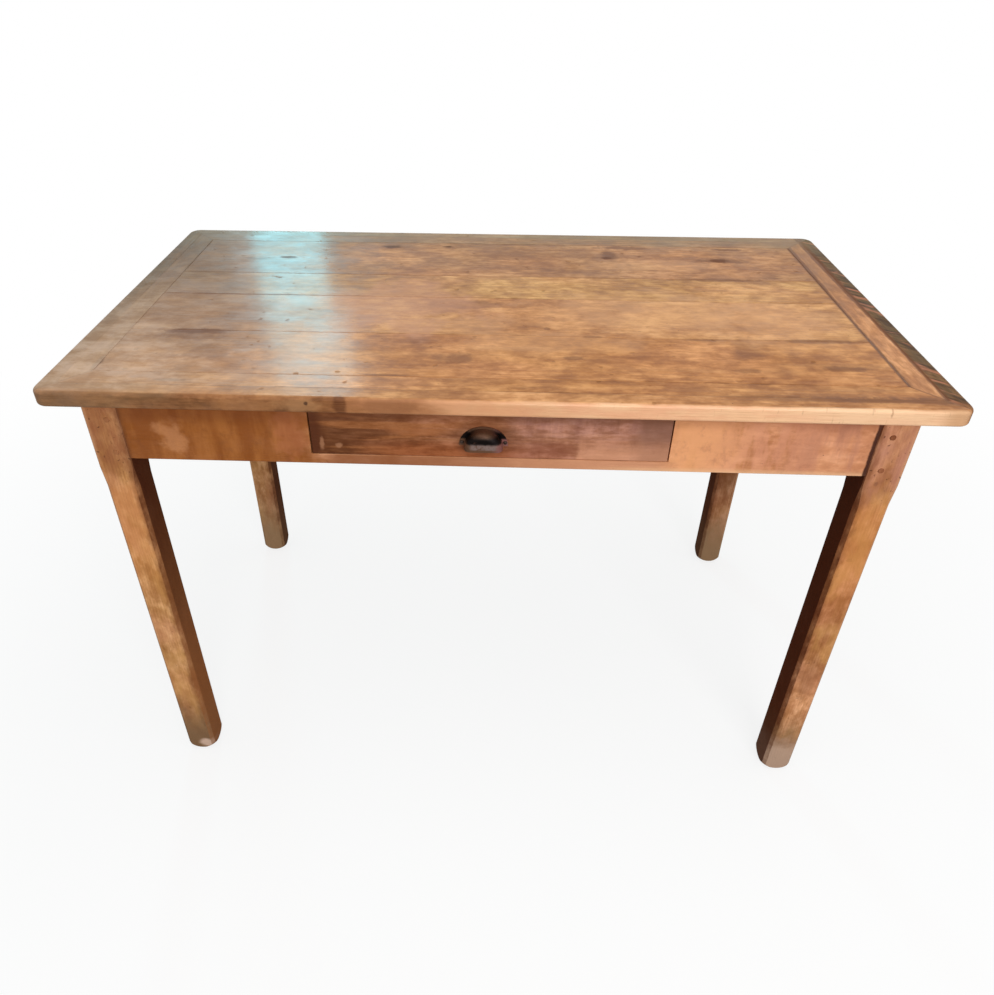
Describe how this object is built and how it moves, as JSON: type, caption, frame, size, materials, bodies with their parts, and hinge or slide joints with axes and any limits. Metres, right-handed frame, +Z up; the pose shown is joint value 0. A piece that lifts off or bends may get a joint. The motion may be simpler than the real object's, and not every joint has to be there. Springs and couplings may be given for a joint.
{
  "type": "farmhouse table",
  "caption": "Rectangular wooden table: a plank top in a mitred frame, square legs chamfered below pegged apron joints, and a dovetailed drawer with a cup pull.",
  "frame": {"origin": "on the floor, under the centre of the table top", "axes": "+X along the table to its right end, +Y from the drawer's side to the back, +Z up"},
  "size_m": [1.15, 0.6, 0.75],
  "materials": {
    "top_board_wood": "waxed, worn",
    "top_band_wood": "waxed, worn",
    "top_edge_wood": "waxed, worn",
    "apron_wood": "waxed",
    "leg_wood": "waxed, worn",
    "drawer_front_wood": "waxed",
    "inner_wood": "bare",
    "peg_wood": "waxed",
    "pull_iron": "blackened",
    "screw_steel": "dull"
  },
  "bodies": {
    "table": {"apron_back": "apron_wood", "apron_front": "apron_wood", "apron_left": "apron_wood", "apron_right": "apron_wood", "button_screws": "screw_steel", "drawer_runner_left": "inner_wood", "drawer_runner_right": "inner_wood", "drawer_stops": "inner_wood", "leg_back_left": "leg_wood", "leg_back_right": "leg_wood", "leg_front_left": "leg_wood", "leg_front_right": "leg_wood", "tenon_pegs": "peg_wood", "top_band_back": "top_band_wood", "top_band_front": "top_band_wood", "top_band_left": "top_band_wood", "top_band_right": "top_band_wood", "top_board_back": "top_board_wood", "top_board_front": "top_board_wood", "top_board_mid_back": "top_board_wood", "top_board_mid_front": "top_board_wood", "top_buttons": "inner_wood", "top_lipping_back": "top_edge_wood", "top_lipping_front": "top_edge_wood", "top_lipping_left": "top_edge_wood", "top_lipping_right": "top_edge_wood"},
    "drawer": {"drawer_back": "inner_wood", "drawer_bottom": "inner_wood", "drawer_bottom_nails": "screw_steel", "drawer_front": "drawer_front_wood", "drawer_pull": "pull_iron", "drawer_side_left": "inner_wood", "drawer_side_right": "inner_wood", "pull_screws": "screw_steel"}
  },
  "joints": [
    {"name": "drawer_slide", "type": "slide", "parent": "table", "child": "drawer", "axis": [0, -1, 0], "range_m": [0, 0.32]}
  ]
}
